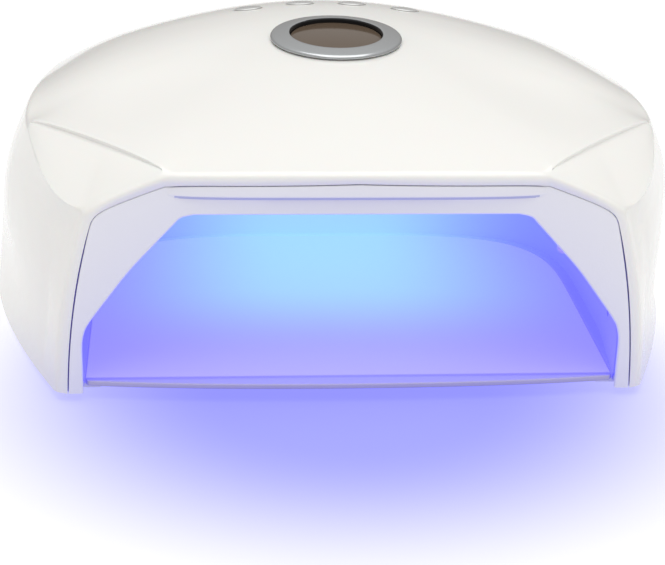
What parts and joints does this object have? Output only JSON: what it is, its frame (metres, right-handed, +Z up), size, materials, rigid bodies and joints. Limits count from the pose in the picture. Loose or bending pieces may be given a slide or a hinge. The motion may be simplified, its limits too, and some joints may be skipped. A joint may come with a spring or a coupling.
{
  "type": "uv led nail lamp",
  "caption": "Domed white nail curing lamp with a hand opening at the front, timer display, push buttons and a pull-out tray.",
  "frame": {"origin": "centre of the plan outline, on the surface the lamp stands on", "axes": "+X to the right seen from the front, +Y to the rear, +Z up; the hand opening faces -Y"},
  "size_m": [0.234, 0.2082, 0.0938],
  "materials": {
    "shell_white": "high gloss moulded ABS",
    "liner_white": "semi gloss moulded ABS",
    "tray_white": "fine satin texture",
    "chrome_ring": "polished plating",
    "smoked_window": "smoked polycarbonate, polished",
    "button_silver": "silver lacquer",
    "black_plastic": "moulded",
    "circuit_board": "solder mask",
    "led_board": "aluminium core board with lamp beads",
    "foot_rubber": "matt",
    "zinc_steel": "zinc plated",
    "wire_sleeve": "silicone sleeve"
  },
  "bodies": {
    "housing": {"top_shell": "shell_white", "inner_liner": "liner_white", "base_plate": "liner_white", "display_bezel": "chrome_ring", "display_window": "smoked_window", "display_module": "black_plastic", "control_board": "circuit_board", "ceiling_led_board": "led_board", "right_led_board": "led_board", "left_led_board": "led_board", "rear_led_board": "led_board", "sensor_emitter": "black_plastic", "sensor_receiver": "black_plastic", "driver_board": "circuit_board", "dc_inlet": "black_plastic", "tray_magnet_1": "zinc_steel", "tray_magnet_2": "zinc_steel", "foot_front_right": "foot_rubber", "foot_front_left": "foot_rubber", "foot_rear_right": "foot_rubber", "foot_rear_left": "foot_rubber", "base_screw_1_right": "zinc_steel", "base_screw_1_left": "zinc_steel", "base_screw_2_right": "zinc_steel", "base_screw_2_left": "zinc_steel", "base_screw_3_right": "zinc_steel", "base_screw_3_left": "zinc_steel", "driver_screw_1_right": "zinc_steel", "driver_screw_1_left": "zinc_steel", "driver_screw_2_right": "zinc_steel", "driver_screw_2_left": "zinc_steel", "board_screw_1_right": "zinc_steel", "board_screw_1_left": "zinc_steel", "board_screw_2_right": "zinc_steel", "board_screw_2_left": "zinc_steel", "inlet_wire": "wire_sleeve", "led_wire": "wire_sleeve"},
    "tray_body": {"tray": "tray_white", "tray_strike_1": "zinc_steel", "tray_strike_2": "zinc_steel"},
    "button_body_1": {"button_1": "button_silver", "switch_plunger_1": "black_plastic"},
    "button_body_2": {"button_2": "button_silver", "switch_plunger_2": "black_plastic"},
    "button_body_3": {"button_3": "button_silver", "switch_plunger_3": "black_plastic"},
    "button_body_4": {"button_4": "button_silver", "switch_plunger_4": "black_plastic"}
  },
  "joints": [
    {"name": "tray_slide", "type": "slide", "parent": "housing", "child": "tray_body", "axis": [0, -1, 0], "range_m": [0, 0.14]},
    {"name": "button_press_1", "type": "slide", "parent": "housing", "child": "button_body_1", "axis": [0, 0, -1], "range_m": [0, 0.0008], "stiffness_N_per_m": 400, "springref_m": -0.0002},
    {"name": "button_press_2", "type": "slide", "parent": "housing", "child": "button_body_2", "axis": [0, 0, -1], "range_m": [0, 0.0008], "stiffness_N_per_m": 400, "springref_m": -0.0002},
    {"name": "button_press_3", "type": "slide", "parent": "housing", "child": "button_body_3", "axis": [0, 0, -1], "range_m": [0, 0.0008], "stiffness_N_per_m": 400, "springref_m": -0.0002},
    {"name": "button_press_4", "type": "slide", "parent": "housing", "child": "button_body_4", "axis": [0, 0, -1], "range_m": [0, 0.0008], "stiffness_N_per_m": 400, "springref_m": -0.0002}
  ]
}
